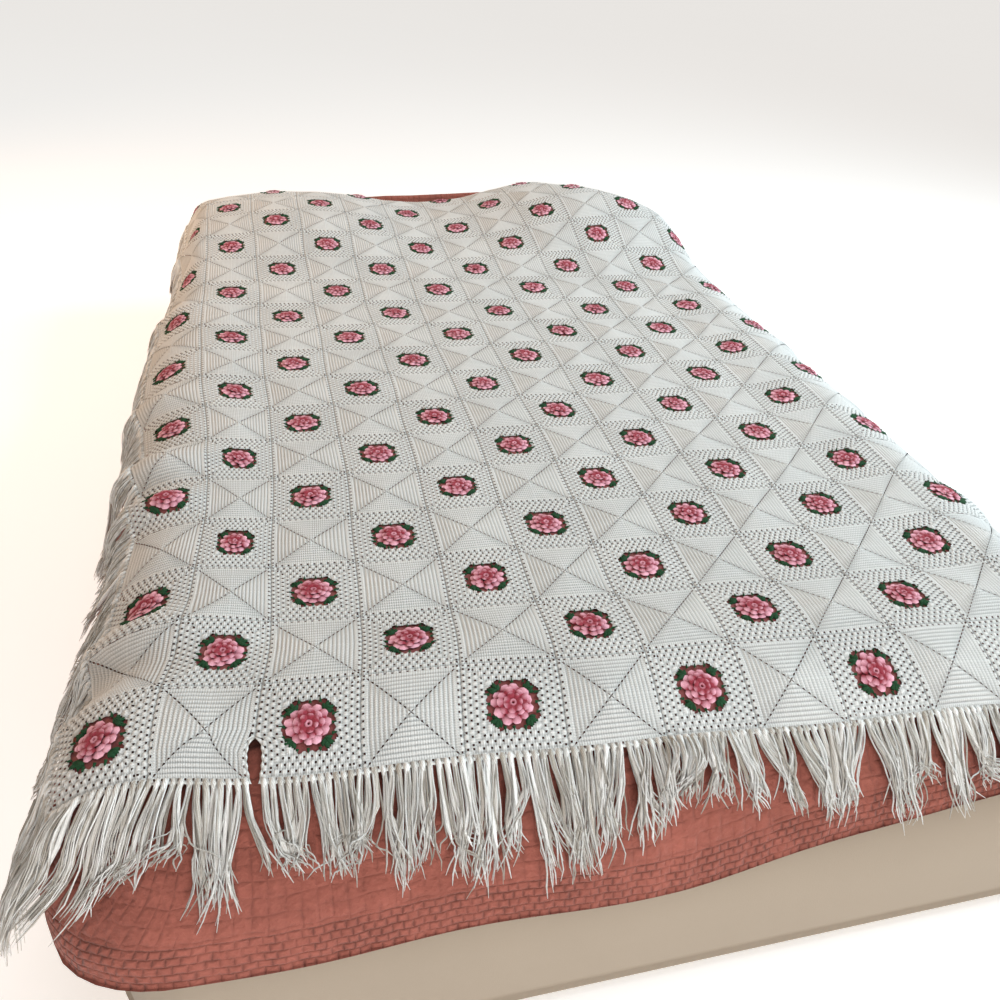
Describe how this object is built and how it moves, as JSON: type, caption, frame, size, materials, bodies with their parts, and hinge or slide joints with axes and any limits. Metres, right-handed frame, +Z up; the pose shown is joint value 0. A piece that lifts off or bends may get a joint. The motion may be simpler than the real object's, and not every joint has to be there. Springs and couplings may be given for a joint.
{
  "type": "granny square afghan on a mattress",
  "caption": "Fringed crochet afghan of white squares with raised pink roses, draped over a mattress whose coral cover also goes over pillows.",
  "frame": {"origin": "on the floor, under the middle of the whole part's outline", "axes": "+X to the right seen from the foot, +Y towards the head, +Z up"},
  "size_m": [1.4268, 2.03, 0.4571],
  "materials": {
    "coral_cover": "quilted coral cotton, matte",
    "white_crochet": "crocheted off-white cotton yarn, matte",
    "fringe_yarn": "loose off-white cotton yarn, matte",
    "rose_yarn": "crocheted pink yarn, matte",
    "leaf_yarn": "crocheted dark green yarn, matte"
  },
  "bodies": {
    "root": {"mattress": "coral_cover", "afghan": "white_crochet", "fringe_left": "fringe_yarn", "fringe_foot_corner": "fringe_yarn", "fringe_foot": "fringe_yarn", "fringe_right": "fringe_yarn"}
  },
  "joints": []
}
